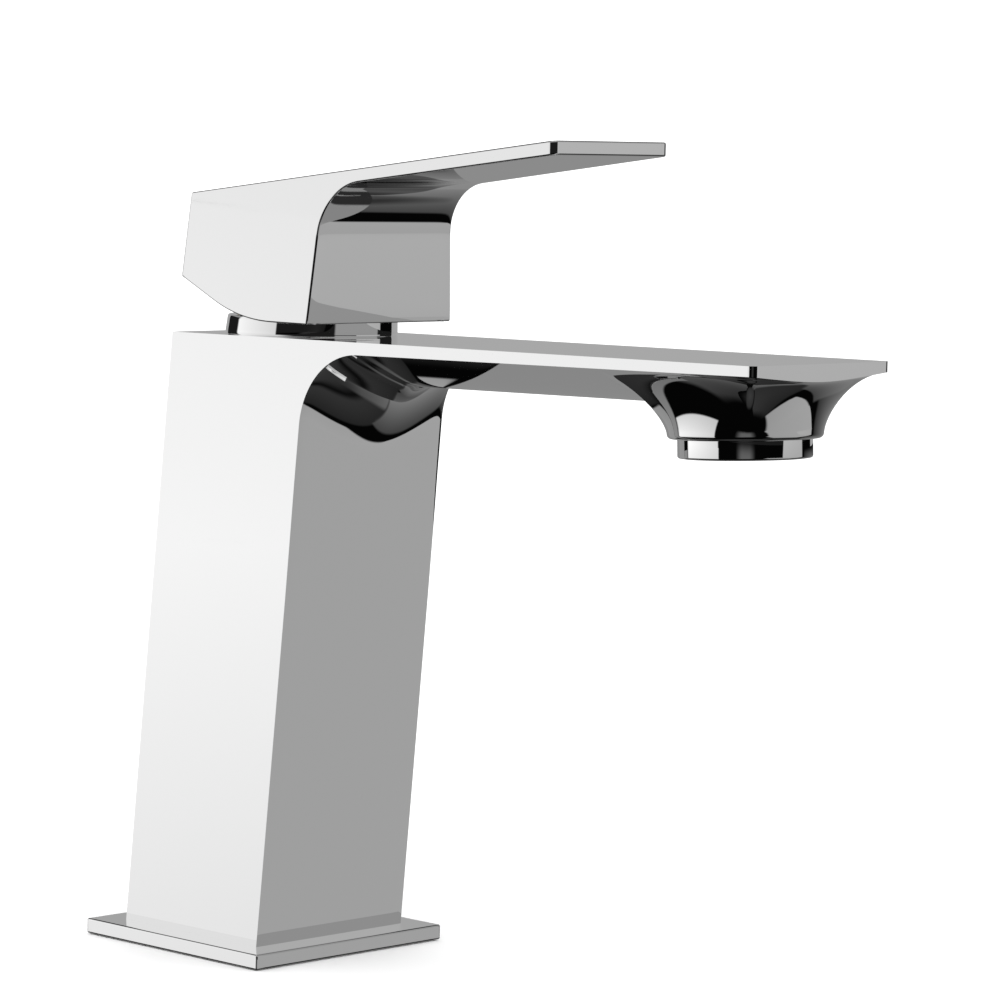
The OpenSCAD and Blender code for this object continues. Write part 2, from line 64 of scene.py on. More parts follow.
SIN_L, COS_L = math.sin(math.radians(LEAN)), math.cos(math.radians(LEAN))


def smooth(t):
    t = min(max(t, 0.0), 1.0)
    return t * t * (3 - 2 * t)


def axis_point(w, v=0.0):
    """A point of the plane X = 0 in the column's leaning frame."""
    return v * COS_L - w * SIN_L, PLATE_T + v * SIN_L + w * COS_L


TOP_Y0, TOP_Z0 = axis_point(COL_H)


def top_z(y):
    return TOP_Z0 + tand(TOP_RISE) * (TOP_Y0 - y)


def half_w(y, z):
    return COL_HALF_W - tand(SIDE_DRAFT) * (z - PLATE_T) + tand(SIDE_TAPER) * y


def plan_half(y, tip=None, half=None):
    """Half width at y with the tip's corners rounded in plan."""
    tip = -REACH if tip is None else tip
    half = half_w(y, SPOUT_MID_Z) if half is None else half
    over = tip + TIP_R - y
    return half - (TIP_R - math.sqrt(max(TIP_R ** 2 - over ** 2, 0.0)) if over > 0 else 0.0)


def tip_arc(tip):
    """The y values of a rounded corner, from where it starts to the tip."""
    return [tip + TIP_R - TIP_R * math.sin(math.pi / 2 * k / 9) for k in range(10)]


def roll(*gaps):
    """How far a polished face has rolled off, given the distances to its edges."""
    return ROLL_DEPTH * sum(math.exp(-gap / ROLL_REACH) for gap in gaps)


def front_y(z):
    return axis_point(0, -COL_HALF_D)[0] - tand(LEAN) * (z - PLATE_T)


def back_y(z):
    return axis_point(0, COL_HALF_D)[0] - tand(LEAN) * (z - PLATE_T)


def edge_z(y):
    """Lower edge of the spout's thin side."""
    start = axis_point(COL_H, -COL_HALF_D)[0]
    return top_z(start) - EDGE_T + tand(UNDER_RISE) * (start - y)


def drop(s):
    """How far the belly hangs below the side edges, at s from -1 to 1 across: a V with a round bottom."""
    fall = (math.hypot(s, BELLY_ROUND) - BELLY_ROUND) / (math.hypot(1, BELLY_ROUND) - BELLY_ROUND)
    return (1 - fall) * BELLY_DROP


# ---------------------------------------------------------------- mesh helpers
def mesh_object(name, verts, faces, sharp_deg=32.0, weld=0.002):
    """A mesh from points in millimetres, welded, its faces turned outwards and smooth."""
    me = bpy.data.meshes.new(name)
    me.from_pydata([(x * MM, y * MM, z * MM) for x, y, z in verts], [], faces)
    bm = bmesh.new()
    bm.from_mesh(me)
    bmesh.ops.remove_doubles(bm, verts=bm.verts, dist=weld * MM)
    bmesh.ops.dissolve_degenerate(bm, edges=bm.edges, dist=weld * MM / 4)
    bmesh.ops.recalc_face_normals(bm, faces=bm.faces)
    limit = math.radians(sharp_deg)
    for face in bm.faces:
        face.smooth = True
    weight = bm.edges.layers.float.new("bevel_weight_edge")
    for edge in bm.edges:
        if len(edge.link_faces) == 2 and edge.calc_face_angle(0.0) > limit:
            edge.smooth = False
            edge[weight] = 1.0
    bm.to_mesh(me)
    bm.free()
    obj = bpy.data.objects.new(name, me)
    bpy.context.scene.collection.objects.link(obj)
    return obj


def bevel(obj, width, segments=4):
    """Rounds the edges by their bevel weight and keeps flat faces flat."""
    mod = obj.modifiers.new("edges", "BEVEL")
    mod.width = width * MM
    mod.segments = segments
    mod.limit_method = "WEIGHT"
    flat = obj.modifiers.new("flat faces", "WEIGHTED_NORMAL")
    flat.keep_sharp = True


def grid_faces(rows, cols, base, closed):
    """Quads between neighbouring rows of points, joined round if closed."""
    out = []
    for i in range(rows - 1):
        for j in range(cols if closed else cols - 1):
            k = (j + 1) % cols
            low, high = base + i * cols, base + (i + 1) * cols
            out.append((low + j, low + k, high + k, high + j))
    return out


def spread(steps):
    """Positions from -1 to 1 across a face, closer together towards its edges."""
    return [math.sin(math.pi / 2 * k / steps) * 0.8 + 0.2 * k / steps for k in range(-steps, steps + 1)]


class Builder:
    """Collects grids and flat faces into one mesh."""

    def __init__(self):
        self.verts, self.faces = [], []

    def grid(self, rows, closed=False):
        base = len(self.verts)
        for row in rows:
            self.verts.extend(row)
        self.faces.extend(grid_faces(len(rows), len(rows[0]), base, closed))

    def ngon(self, points):
        base = len(self.verts)
        self.verts.extend(points)
        self.faces.append(tuple(range(base, base + len(points))))


def lathe(profile, place, columns):
    """Turns a closed outline of (r, h) points; place(x, y, h) puts a point into the part's frame."""
    build = Builder()
    rows = []
    turns = [2 * math.pi * j / columns for j in range(columns)]
    for r, h in profile + [profile[0]]:
        rows.append([place(r * math.cos(a), r * math.sin(a), h) for a in turns])
    build.grid(rows, closed=True)
    return build


# ---------------------------------------------------------------- body
def root_profile(s, steps=26):
    """Side view of column front, root fillet and underside at s across, from the foot outwards."""
    hang = drop(s)

    def under(y):
        return edge_z(y) - hang
    # fillet tangent to the column's front line and to the underside line
    lean, rise = math.radians(LEAN), math.radians(UNDER_RISE)
    cz = 100.0
    for _ in range(60):
        cy = front_y(cz) - ROOT_R / math.cos(lean)
        cz = under(cy) - ROOT_R / math.cos(rise)
    start = lean
    end = math.pi / 2 - rise
    pts = []
    touch_z = cz + ROOT_R * math.sin(start)
    for k in range(9):
        z = PLATE_T + (touch_z - PLATE_T) * k / 9
        pts.append((front_y(z), z))
    for k in range(steps + 1):
        a = start + (end - start) * k / steps
        pts.append((cy + ROOT_R * math.cos(a), cz + ROOT_R * math.sin(a)))
    y0 = pts[-1][0]
    for k in range(1, 13):
        y = y0 + (PATCH_BACK_Y - y0) * k / 12
        pts.append((y, under(y)))
    return pts


def base_z(x, y):
    """The underside without the boss: a round belly that flattens out in front of the outlet."""
    hw = half_w(y, SPOUT_MID_Z)
    fade = 0.2 + 0.8 * smooth((y + 152.0) / 34.0)
    return edge_z(y) - drop(x / hw) * fade


def rolled(s, y, z):
    """A point of the column's front, fillet or underside at s across, with the edges rolled off."""
    half = half_w(y, z)
    turn = min(max((y - front_y(PLATE_T) + 60.0) / 40.0, 0.0), 1.0)
    gap = half * (1 - abs(s))
    near_root = 1 + 5 * smooth((z - 78.0) / 32.0)
    return s * half, y + roll(gap) * near_root * smooth(turn), z


def body_mesh():
    build = Builder()
    across = spread(24)
    profiles = {s: root_profile(s) for s in across}
    build.grid([[rolled(s, *profiles[s][k]) for s in across] for k in range(len(profiles[0.0]))])
    # boss patch: from the outlet's circle out to the spout's outline
    outline = [(s * half_w(PATCH_BACK_Y, SPOUT_MID_Z), PATCH_BACK_Y) for s in across]
    start = -REACH + TIP_R
    straight = [PATCH_BACK_Y + (start - PATCH_BACK_Y) * k / 36 for k in range(1, 36)]
    side_ys = straight + tip_arc(-REACH)
    end_half = plan_half(-REACH)
    outline += [(plan_half(y), y) for y in side_ys]
    outline += [(s * end_half, -REACH) for s in reversed(across[1:-1])]
    outline += [(-plan_half(y), y) for y in reversed(side_ys)]
    tilt = tand(OUT_TILT)
    shares = [0, 0.006, 0.02, 0.045, 0.08, 0.12, 0.17, 0.23, 0.3, 0.37] + [0.44 + 0.08 * k for k in range(8)]
    rings = []
    for t in shares:
        ring = []
        for ox, oy in outline:
            a = math.atan2(oy - OUT_Y, ox)
            cx, cy = BOSS_R * math.cos(a), OUT_Y + BOSS_R * math.sin(a)
            x, y = cx + (ox - cx) * t, cy + (oy - cy) * t
            low = OUT_Z + RIM_R - (cy - OUT_Y) * tilt
            reach = math.hypot(ox - cx, oy - cy)
            power = 0.62 + 0.06 * smooth((reach - 3.5) / 6.0)
            rise = (1 - (1 - t) ** 2) ** power
            gap = base_z(cx, cy) - low
            z = base_z(x, y) - gap * (1 - rise) if t > 0 else low
            ring.append((x, y, z))
        rings.append(ring)
    build.grid(rings, closed=True)
    # lower face of the boss and the seat of the aerator
    seat = []
    rim = [(BOSS_R - RIM_R + RIM_R * math.cos(math.radians(a)), RIM_R - RIM_R * math.sin(math.radians(a)))
           for a in range(0, 91, 15)]
    steps = [(13.6, 0.0), (12.1, 0.0), (12.05, 2.0), (12.05, 8.8), (9.5, 8.8), (9.5, 11.0)]   # radius, height
    for r, h in rim + steps:
        seat.append([])
        for ox, oy in outline:
            a = math.atan2(oy - OUT_Y, ox)
            cy = OUT_Y + r * math.sin(a)
            seat[-1].append((r * math.cos(a), cy, OUT_Z + h - (cy - OUT_Y) * tilt))
    build.grid(seat, closed=True)
    build.ngon(list(reversed(seat[-1])))
    # end face and the tip's rounded corners
    arc = tip_arc(-REACH)
    end = [(-plan_half(y), y) for y in arc] + [(s * end_half, -REACH) for s in across[1:-1]]
    end += [(plan_half(y), y) for y in reversed(arc)]
    build.grid([[(x, y, base_z(x, y)) for x, y in end], [(x, y, top_z(y)) for x, y in end]])
    # side faces
    back_top = back_y(top_z(back_y(TOP_Z0)))
    back_z, foot_y = top_z(back_top), back_y(PLATE_T)
    back_half, foot_half = half_w(back_top, back_z), half_w(foot_y, PLATE_T)
    start_half = half_w(start, SPOUT_MID_Z)
    for side in (-1, 1):
        face = [rolled(side, y, z) for y, z in profiles[1.0]]
        for y in straight + [start]:
            x = side * half_w(y, SPOUT_MID_Z)
            face.append((x, y, base_z(x, y)))
        face += [(side * start_half, start, top_z(start)), (side * back_half, back_top, back_z),
                 (side * foot_half, foot_y, PLATE_T)]
        build.ngon(face)
    # top and back faces
    back_edge = [(-back_half, back_top, back_z), (back_half, back_top, back_z)]
    build.ngon(back_edge + [(x, y, top_z(y)) for x, y in reversed(end)])
    build.ngon(back_edge + [(foot_half, foot_y, PLATE_T), (-foot_half, foot_y, PLATE_T)])
    # foot, with the hollow of the column behind it
    outer = [rolled(s, front_y(PLATE_T), PLATE_T) for s in across]
    inner_hw, inner_hd = COL_HALF_W - WALL, COL_HALF_D - WALL
    ceil = [axis_point(HOLLOW_TOP, -inner_hd), axis_point(HOLLOW_TOP, inner_hd)]
    fy, by = axis_point(0, -inner_hd)[0], axis_point(0, inner_hd)[0]
    corners_out = [outer[0][:2], outer[-1][:2], (foot_half, foot_y), (-foot_half, foot_y)]
    corners_in = [(-inner_hw, fy), (inner_hw, fy), (inner_hw, by), (-inner_hw, by)]
    build.ngon(outer + [(inner_hw, fy, PLATE_T), (-inner_hw, fy, PLATE_T)])
    for k in (1, 2, 3):
        j = (k + 1) % 4
        side_quad = corners_out[k], corners_out[j], corners_in[j], corners_in[k]
        build.ngon([(x, y, PLATE_T) for x, y in side_quad])
    roof_pts = [(-inner_hw, *ceil[0]), (inner_hw, *ceil[0]), (inner_hw, *ceil[1]), (-inner_hw, *ceil[1])]
    low_pts = [(x, y, PLATE_T) for x, y in corners_in]
    for k in range(4):
        j = (k + 1) % 4
        build.ngon([low_pts[k], low_pts[j], roof_pts[j], roof_pts[k]])
    build.ngon(roof_pts)
    obj = mesh_object("body_shell", build.verts, build.faces)
    bevel(obj, 0.4, 3)
    return obj


# ---------------------------------------------------------------- lever
LEVER_HALF, LEVER_DRAFT, LEVER_TAPER = 21.35, 4.77, 0.81
LEVER_LOW, LEVER_FRONT, LEVER_BACK = 136.5, -32.9, 6.7
LEVER_LEAN, LEVER_RISE, LEVER_REACH = 3.3, 7.15, 98.6
LEVER_TOP_Z, LEVER_TOP_Y, HANDLE_T, LEVER_FILLET = 163.2, 4.8, 2.9, 12.3
LEVER_ROLL = 2.5         # its front rolls off more than the column's
RELIEF_Y, RELIEF_R, RELIEF_ANGLE = -21.9, 44.0, 24.3


def lever_half(y, z):
    return LEVER_HALF - tand(LEVER_DRAFT) * (z - LEVER_LOW) + tand(LEVER_TAPER) * (y - LEVER_FRONT)


def lever_top(y):
    return LEVER_TOP_Z + tand(LEVER_RISE) * (LEVER_TOP_Y - y)


def lever_front(z):
    return LEVER_FRONT - tand(LEVER_LEAN) * (z - LEVER_LOW)


def lever_outline():
    """Bottom, back, top, tip, underside and front of the lever, as lists of (y, z)."""
    arc_z = LEVER_LOW + RELIEF_R
    bottom = [(y, LEVER_LOW) for y in (lever_front(LEVER_LOW), -31.0, -27.0, RELIEF_Y)]
    steps = 14
    for k in range(1, steps + 1):
        a = math.radians(RELIEF_ANGLE) * k / steps
        bottom.append((RELIEF_Y + RELIEF_R * math.sin(a), arc_z - RELIEF_R * math.cos(a)))
    last = bottom[-1]
    for y in (0.5, LEVER_BACK - 2.3, LEVER_BACK):
        bottom.append((y, last[1] + tand(RELIEF_ANGLE) * (y - last[0])))
    back_low = bottom[-1]
    top_y = LEVER_BACK - tand(LEVER_LEAN) * (LEVER_TOP_Z - back_low[1])
    back = [back_low, (top_y, lever_top(top_y))]
    top = [back[-1], (-LEVER_REACH, lever_top(-LEVER_REACH))]
    under0 = lever_top(0) - HANDLE_T / math.cos(math.radians(LEVER_RISE))

    def under(y):
        return under0 - tand(LEVER_RISE) * y
    lean, rise = math.radians(LEVER_LEAN), math.radians(LEVER_RISE)
    cz = 154.0
    for _ in range(60):
        cy = lever_front(cz) - LEVER_FILLET / math.cos(lean)
        cz = under(cy) - LEVER_FILLET / math.cos(rise)
    tip = [top[-1], (-LEVER_REACH, under(-LEVER_REACH))]
    arc = []
    start, end = math.pi / 2 - rise, lean
    for k in range(25):
        a = start + (end - start) * k / 24
        arc.append((cy + LEVER_FILLET * math.cos(a), cz + LEVER_FILLET * math.sin(a)))
    return bottom, back, top, tip, arc


def lever_mesh():
    bottom, back, top, tip, arc = lever_outline()
    build = Builder()
    across = spread(14)
    build.grid([[(s * lever_half(y, z), y, z) for s in across] for y, z in back])
    # front, fillet and the handle's underside, the front with its edges rolled off
    low_y, low_z = bottom[0]
    levels = [arc[-1][1] + (low_z - arc[-1][1]) * k / 16 for k in range(1, 16)]
    levels += [low_z + 0.7, low_z + 0.35]
    front = [(lever_front(z), z) for z in levels] + [(low_y, low_z)]
    start = -LEVER_REACH + TIP_R
    line = arc + front

    def front_point(s, y, z):
        half = lever_half(y, z)
        upright = smooth((arc[-6][1] - z) / -4.0 + 1.0) if z > arc[-1][1] else 1.0
        return s * half, y + upright * LEVER_ROLL * roll(half * (1 - abs(s)), z - low_z), z
    build.grid([[front_point(s, y, z) for s in across] for y, z in line])
    # tip with rounded corners
    tip_ys = tip_arc(-LEVER_REACH)
    half = lever_half(-LEVER_REACH, lever_top(-LEVER_REACH))
    end_half = plan_half(-LEVER_REACH, -LEVER_REACH, half)
    wall_xy = [(-plan_half(y, -LEVER_REACH, half), y) for y in tip_ys]
    wall_xy += [(s * end_half, -LEVER_REACH) for s in across[1:-1]]
    wall_xy += [(plan_half(y, -LEVER_REACH, half), y) for y in reversed(tip_ys)]

    def under_at(y):
        return tip[-1][1] - tand(LEVER_RISE) * (y + LEVER_REACH)
    build.grid([[(x, y, under_at(y)) for x, y in wall_xy], [(x, y, lever_top(y)) for x, y in wall_xy]])
    (back_y0, back_z0) = top[0]
    back_row = [(s * lever_half(back_y0, back_z0), back_y0, back_z0) for s in across]
    build.ngon(back_row + [(x, y, lever_top(y)) for x, y in reversed(wall_xy)])
    arc_row = [front_point(s, *arc[0]) for s in across]
    build.ngon(arc_row + [(x, y, under_at(y)) for x, y in reversed(wall_xy)])
    side_line = bottom[1:] + back[1:] + [(start, lever_top(start)), (start, under_at(start))]
    for side in (-1, 1):
        pts = [(side * lever_half(y, z), y, z) for y, z in side_line[:-2]]
        pts += [(side * half, y, z) for y, z in side_line[-2:]]
        pts += [front_point(side, y, z) for y, z in line]
        build.ngon(pts)
    # lower face around the hollow, and the hollow's walls
    wall = 2.3
    front_in, back_in = -31.0, LEVER_BACK - wall
    for (y0, z0), (y1, z1) in zip(bottom, bottom[1:]):
        whole = y1 <= front_in + 1e-6 or y0 >= back_in - 1e-6
        h0, h1 = lever_half(y0, z0), lever_half(y1, z1)
        if whole:
            row0 = [(s * h0, y0, z0) for s in across]
            if (y0, z0) == bottom[0]:
                row0 = [front_point(s, y0, z0) for s in across]
            row0 += [(-(h0 - wall), y0, z0), (h0 - wall, y0, z0)]
            row1 = [(s * h1, y1, z1) for s in across] + [(-(h1 - wall), y1, z1), (h1 - wall, y1, z1)]
            key = sorted(range(len(row0)), key=lambda k: row0[k][0])
            build.grid([[row0[k] for k in key], [row1[k] for k in key]])
        else:
            for side in (-1, 1):
                build.ngon([(side * h0, y0, z0), (side * (h0 - wall), y0, z0),
                            (side * (h1 - wall), y1, z1), (side * h1, y1, z1)])
    inner = [(y, z) for y, z in bottom if front_in - 1e-6 <= y <= back_in + 1e-6]
    ceil_z = 158.5
    roof_front, roof_back = lever_front(ceil_z) + 3.2, LEVER_BACK - 4.6

    def roof(y):
        f = (y - inner[0][0]) / (inner[-1][0] - inner[0][0])
        return roof_front + (roof_back - roof_front) * f, lever_top(y) - 3.6
    for side in (-1, 1):
        low = [(side * (lever_half(y, z) - wall), y, z) for y, z in inner]
        high = []
        for y, z in inner:
            ry, rz = roof(y)
            high.append((side * (lever_half(ry, rz) - wall), ry, rz))
        build.grid([low, high])
    ceiling = []
    for y, z in (inner[0], inner[-1]):
        ry, rz = roof(y)
        low_hw, high_hw = lever_half(y, z) - wall, lever_half(ry, rz) - wall
        n = [s * lever_half(y, z) for s in across if abs(s * lever_half(y, z)) < low_hw - 0.01]
        low = [(-low_hw, y, z)] + [(x, y, z) for x in n] + [(low_hw, y, z)]
        high = [(x / low_hw * high_hw, ry, rz) for x, _, _ in low]
        build.grid([low, high])
        ceiling.append(high)
    build.grid(ceiling)
    obj = mesh_object("lever_shell", build.verts, build.faces)
    bevel(obj, 0.4, 3)
    return obj


def box_piece(name, frame_at, x, y, z, hole):
    """A box between limits in a leaning frame, with a square hole of half width hole through it."""
    (x0, x1), (y0, y1), (z0, z1) = x, y, z
    build = Builder()
    outer = [(x0, y0), (x1, y0), (x1, y1), (x0, y1)]
    rings = [[frame_at(px, py, z0) for px, py in outer], [frame_at(px, py, z1) for px, py in outer]]
    build.grid(rings, closed=True)
    inner = [(-hole, -hole), (hole, -hole), (hole, hole), (-hole, hole)]
    holes = [[frame_at(px, py, z0) for px, py in inner], [frame_at(px, py, z1) for px, py in inner]]
    build.grid(holes, closed=True)
    for k in (0, 1):
        build.grid([rings[k], holes[k]], closed=True)
    return mesh_object(name, build.verts, build.faces)


def at_top(x, v, w):
    y, z = axis_point(COL_H + w, v)
    return x, y, z


# ---------------------------------------------------------------- plate, neck ring, aerator housing
def plate_mesh():
    build = Builder()
    count = 128
    profile = [(PLATE_HOLE, PLATE_T), (PLATE_HOLE, 0), (19.5, 0), (19.5, 1.6), (24.5, 1.6), (24.5, 0)]
    rows = [[(r * math.cos(2 * math.pi * j / count), r * math.sin(2 * math.pi * j / count), z)
             for j in range(count)] for r, z in profile]
    square = []
    for j in range(count):
        a = 2 * math.pi * j / count
        grow = PLATE_HALF / max(abs(math.cos(a)), abs(math.sin(a)))
        square.append((grow * math.cos(a), grow * math.sin(a)))
    rows.append([(x, y, 0) for x, y in square])
    rows.append([(x, y, PLATE_T) for x, y in square])
    rows.append(rows[0])
    build.grid(rows, closed=True)
    obj = mesh_object("plate_shell", build.verts, build.faces)
    bevel(obj, 0.4)
    return obj


def ring_mesh():
    """The neck ring: a slightly conical band that stands on the spout's top face."""
    base_r, top_r, inner_r, height = 18.53, 18.2, 16.9, 4.1
    columns = 160
    rise = math.radians(LEAN + TOP_RISE)
    rows = []
    levels = [(base_r, 0.0), (base_r - 0.05, 0.12)]
    for k in range(1, 8):
        levels.append((base_r + (top_r - base_r) * k / 8, 0.12 + (height - 0.42) * k / 7.0))
    for k in range(1, 7):
        a = math.pi / 2 * k / 6
        levels.append((top_r - 0.3 + 0.3 * math.cos(a), height - 0.3 + 0.3 * math.sin(a)))
    levels += [(inner_r + 0.2, height), (inner_r, height - 0.2), (inner_r, 0.0)]
    for r, h in levels + [levels[0]]:
        row = []
        for j in range(columns):
            a = 2 * math.pi * j / columns
            x, v = r * math.cos(a), r * math.sin(a)
            w = h / math.cos(rise) - v * math.tan(rise)
            row.append(at_top(x, v, w))
        rows.append(row)
    build = Builder()
    build.grid(rows, closed=True)
    return mesh_object("ring_shell", build.verts, build.faces, sharp_deg=50)


def at_outlet(x, v, h):
    t = math.radians(-OUT_TILT)
    return x, OUT_Y + v * math.cos(t) - h * math.sin(t), OUT_Z + v * math.sin(t) + h * math.cos(t)


def aerator_mesh():
    r, low = 13.32, -3.9
    profile = [(r, 0.0), (r, low + 0.55)]
    for k in range(1, 6):
        a = math.pi / 2 * k / 5
        profile.append((r - 0.45 + 0.45 * math.cos(a), low + 0.55 - 0.45 * math.sin(a)))
    # groove and bore of the lower face, then the wall that goes up into the boss
    profile += [(r - 1.1, low), (r - 1.25, low + 0.35), (11.2, low + 0.35), (11.05, low), (10.45, low)]
    profile += [(10.2, low + 0.25), (10.2, low + 1.5), (10.8, low + 1.55)]
    profile += [(10.8, 7.6), (11.96, 7.6), (11.96, 0.0)]
    build = lathe(profile, at_outlet, 144)
    return mesh_object("aerator_shell", build.verts, build.faces, sharp_deg=35)


# ---------------------------------------------------------------- materials
def node_material(name):
    mat = bpy.data.materials.new(name)
    mat.use_nodes = True
    tree = mat.node_tree
    return mat, tree, tree.nodes["Principled BSDF"]


def noise(tree, scale, detail=2.0):
    coord = tree.nodes.new("ShaderNodeTexCoord")
    tex = tree.nodes.new("ShaderNodeTexNoise")
    tex.inputs["Scale"].default_value = scale
    tex.inputs["Detail"].default_value = detail
    tree.links.new(coord.outputs["Object"], tex.inputs["Vector"])
    return tex


def to_range(tree, source, low, high):
    node = tree.nodes.new("ShaderNodeMapRange")
    node.inputs["From Min"].default_value = 0.3
    node.inputs["From Max"].default_value = 0.7
    node.inputs["To Min"].default_value = low
    node.inputs["To Max"].default_value = high
    tree.links.new(source, node.inputs["Value"])
    return node.outputs["Result"]


def add_bump(tree, shader, source, strength, distance):
    bump = tree.nodes.new("ShaderNodeBump")
    bump.inputs["Strength"].default_value = strength
    bump.inputs["Distance"].default_value = distance
    tree.links.new(source, bump.inputs["Height"])
    tree.links.new(bump.outputs["Normal"], shader.inputs["Normal"])


def metal(name, color, rough_low, rough_high, scale=60.0, bump=0.0):
    mat, tree, shader = node_material(name)
    shader.inputs["Base Color"].default_value = (*color, 1)
    shader.inputs["Metallic"].default_value = 1.0
    tex = noise(tree, scale, 3.0)
    tree.links.new(to_range(tree, tex.outputs["Fac"], rough_low, rough_high), shader.inputs["Roughness"])
    if bump:
        add_bump(tree, shader, noise(tree, scale * 12).outputs["Fac"], bump, 0.0001)
    return mat


def plain(name, color, rough_low, rough_high, scale=300.0, bump=0.2, **sockets):
    mat, tree, shader = node_material(name)
    shader.inputs["Base Color"].default_value = (*color, 1)
    for key, value in sockets.items():
        shader.inputs[key.replace("_", " ")].default_value = value
    tex = noise(tree, scale, 3.0)
    tree.links.new(to_range(tree, tex.outputs["Fac"], rough_low, rough_high), shader.inputs["Roughness"])
    add_bump(tree, shader, tex.outputs["Fac"], bump, 0.0001)
    return mat


CHROME = (0.87, 0.87, 0.87)
MATERIALS = {
    "chrome_body": metal("chrome_body", CHROME, 0.012, 0.03, 40.0),
    "chrome_lever": metal("chrome_lever", CHROME, 0.012, 0.03, 40.0),
    "chrome_trim": metal("chrome_trim", CHROME, 0.01, 0.025, 60.0),
    "brass": metal("brass", (0.72, 0.55, 0.27), 0.2, 0.35, 200.0, 0.2),
    "steel": metal("steel", (0.6, 0.6, 0.61), 0.22, 0.38, 250.0, 0.2),
    "rubber": plain("rubber", (0.03, 0.03, 0.033), 0.6, 0.8, 400.0, 0.4),
    "cartridge_plastic": plain("cartridge_plastic", (0.82, 0.82, 0.78), 0.4, 0.55),
    "aerator_plastic": plain("aerator_plastic", (0.75, 0.76, 0.76), 0.3, 0.45),
    "ceramic": plain("ceramic", (0.93, 0.91, 0.87), 0.08, 0.16, 200.0, 0.05),
    "index_cap": plain("index_cap", (0.8, 0.8, 0.81), 0.1, 0.2, 300.0, 0.05),
    "index_red": plain("index_red", (0.65, 0.04, 0.03), 0.15, 0.25, 300.0, 0.05),
    "index_blue": plain("index_blue", (0.03, 0.13, 0.55), 0.15, 0.25, 300.0, 0.05),
}


def dress(obj, slot):
    obj.data.materials.clear()
    obj.data.materials.append(MATERIALS[slot])


def place(obj, body, slot, *replaced):
    dress(obj, slot)
    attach(obj, body)
    if replaced:
        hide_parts(*replaced)


for entry in frame["record"]["subparts"]:
    dress(frame["nodes"][entry["node"]], entry["material_slot"])

place(body_mesh(), "faucet", "chrome_body", "column", "body", "spout")
place(plate_mesh(), "faucet", "chrome_trim", "base_plate")
place(ring_mesh(), "faucet", "chrome_trim", "neck_ring")
place(aerator_mesh(), "faucet", "chrome_trim", "aerator_housing")
place(lever_mesh(), "lever", "chrome_lever", "lever_handle")
socket = box_piece("lever_socket", at_top, (-7.0, 7.0), (-7.0, 7.0), (14.0, 26.6), 4.05)
place(socket, "lever", "chrome_lever")


# ---------------------------------------------------------------- studio
def glow_material(name, levels, soft):
    """Light of a card: four corner levels blended across it, fading out near its borders."""
    mat = bpy.data.materials.new(name)
    mat.use_nodes = True
    tree = mat.node_tree
    tree.nodes.remove(tree.nodes["Principled BSDF"])
    uv = tree.nodes.new("ShaderNodeSeparateXYZ")
    tree.links.new(tree.nodes.new("ShaderNodeTexCoord").outputs["UV"], uv.inputs[0])

    def blend(a, b, factor):
        node = tree.nodes.new("ShaderNodeMix")
        tree.links.new(factor, node.inputs["Factor"])
        for socket, value in ((node.inputs["A"], a), (node.inputs["B"], b)):
            if isinstance(value, (int, float)):
                socket.default_value = value
            else:
                tree.links.new(value, socket)
        return node.outputs["Result"]
    u, v = uv.outputs["X"], uv.outputs["Y"]
    level = blend(blend(levels[0], levels[1], u), blend(levels[3], levels[2], u), v)
    glow = tree.nodes.new("ShaderNodeEmission")
    tree.links.new(level, glow.inputs["Strength"])
    shade = glow.outputs["Emission"]
    borders = ((u, 0.0, soft[0]), (u, 1.0, 1.0 - soft[1]), (v, 0.0, soft[2]), (v, 1.0, 1.0 - soft[3]))
    for axis, low, high in borders:
        if low == high:
            continue
        fade = tree.nodes.new("ShaderNodeMapRange")
        fade.interpolation_type = "SMOOTHSTEP"
        tree.links.new(axis, fade.inputs["Value"])
        fade.inputs["From Min"].default_value, fade.inputs["From Max"].default_value = low, high
        mix = tree.nodes.new("ShaderNodeMixShader")
        tree.links.new(fade.outputs["Result"], mix.inputs[0])
        tree.links.new(tree.nodes.new("ShaderNodeBsdfTransparent").outputs[0], mix.inputs[1])
        tree.links.new(shade, mix.inputs[2])
        shade = mix.outputs[0]
    tree.links.new(shade, tree.nodes["Material Output"].inputs["Surface"])
    return mat


CAM_POS = Vector((-0.63728, -0.68563, 0.17924))
AZ, EL, ROLL = math.radians(-45.9628), math.radians(5.0023), math.radians(1.2492)


def patch(name, corners, levels, soft=(0, 0, 0, 0), radius=2.4):
    """A glowing patch of a sphere round the object, seen in reflections only.

    The corners are (azimuth, elevation) in degrees, azimuth counter-clockwise from the camera's side:
    lower left, lower right, upper right, upper left. Levels has one brightness or one per corner, and
    soft the fraction that fades out at the left, right, lower and upper border.
    """
    n, m = 24, 12
    verts, faces, uvs = [], [], []
    for i in range(m + 1):
        for k in range(n + 1):
            u, v = k / n, i / m
            share = ((1 - u) * (1 - v), u * (1 - v), u * v, (1 - u) * v)
            az, el = (math.radians(sum(c[d] * w for c, w in zip(corners, share))) for d in (0, 1))
            az += AZ - math.pi / 2
            verts.append((radius * math.cos(az) * math.cos(el), -0.06 + radius * math.sin(az) * math.cos(el),
                          0.12 + radius * math.sin(el)))
            uvs.append((u, v))
    for i in range(m):
        for k in range(n):
            a = i * (n + 1) + k
            faces.append((a, a + 1, a + n + 2, a + n + 1))
    me = bpy.data.meshes.new(name)
    me.from_pydata(verts, [], faces)
    layer = me.uv_layers.new(name="card")
    for loop in me.loops:
        layer.data[loop.index].uv = uvs[loop.vertex_index]
    obj = bpy.data.objects.new(name, me)
    bpy.context.scene.collection.objects.link(obj)
    me.materials.append(glow_material(name, levels if isinstance(levels, tuple) else (levels,) * 4, soft))
    obj.visible_camera = obj.visible_diffuse = obj.visible_shadow = False


